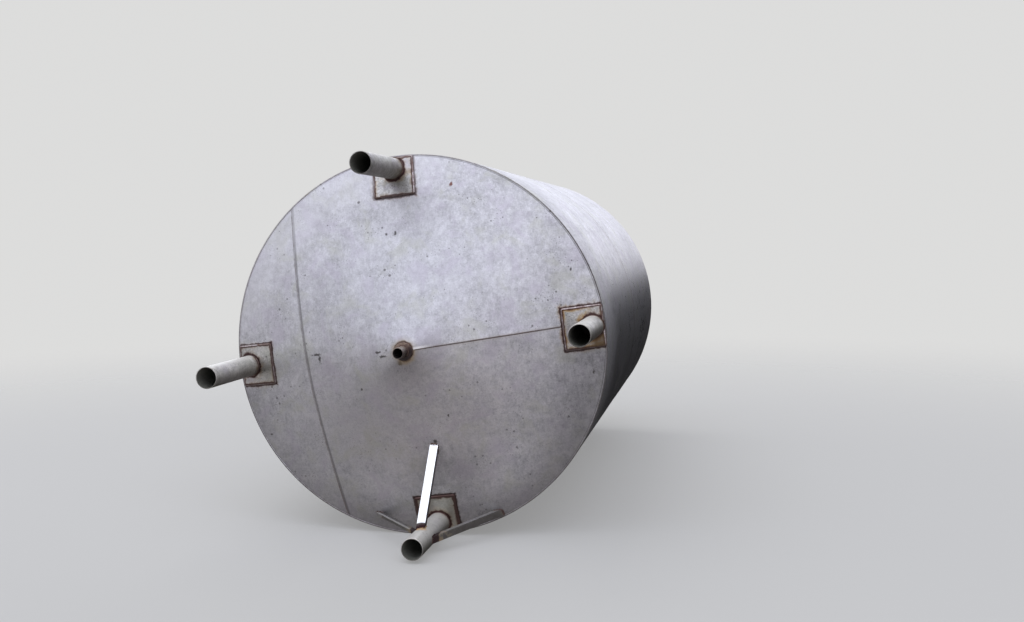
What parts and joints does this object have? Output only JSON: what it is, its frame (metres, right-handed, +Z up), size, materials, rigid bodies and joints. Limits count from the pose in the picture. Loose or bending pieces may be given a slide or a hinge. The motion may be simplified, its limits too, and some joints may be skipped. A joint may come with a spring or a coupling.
{
  "type": "vertical storage tank",
  "caption": "Welded stainless steel storage tank: round shell between two shallow cones with a pipe outlet at each point, on open pipe legs, one of them braced with angle irons.",
  "frame": {"origin": "on the floor under the legs, on the axis of the tank", "axes": "+Z up along the axis of the tank, the legs on the X and Y axes, the braced leg at +Y"},
  "size_m": [2.4, 2.4, 5.0772],
  "materials": {
    "shell_plate": "matte mill-finished stainless plate",
    "cone_plate": "matte mill-finished stainless plate, mottled and lightly scratched",
    "leg_pad": "matte stainless plate with heat tint along the welds",
    "leg_pipe": "drawn stainless pipe with fine marks round it",
    "brace": "satin stainless angle iron with heat-tinted ends",
    "nozzle": "turned stainless pipe with straw-coloured heat tint"
  },
  "bodies": {
    "root": {"shell_lower_plate_1": "shell_plate", "shell_lower_plate_2": "shell_plate", "shell_upper_plate_1": "shell_plate", "shell_upper_plate_2": "shell_plate", "bottom_main_plate": "cone_plate", "bottom_side_plate": "cone_plate", "drain_nozzle": "nozzle", "drain_collar": "nozzle", "roof_main_plate": "cone_plate", "roof_side_plate": "cone_plate", "roof_nozzle": "nozzle", "roof_nozzle_collar": "nozzle", "leg_pad_right": "leg_pad", "leg_pad_back": "leg_pad", "leg_pad_left": "leg_pad", "leg_pad_front": "leg_pad", "leg_pipe_right": "leg_pipe", "leg_pipe_back": "leg_pipe", "leg_pipe_left": "leg_pipe", "leg_pipe_front": "leg_pipe", "leg_brace_right": "brace", "leg_brace_left": "brace", "leg_brace_inner": "brace"}
  },
  "joints": []
}
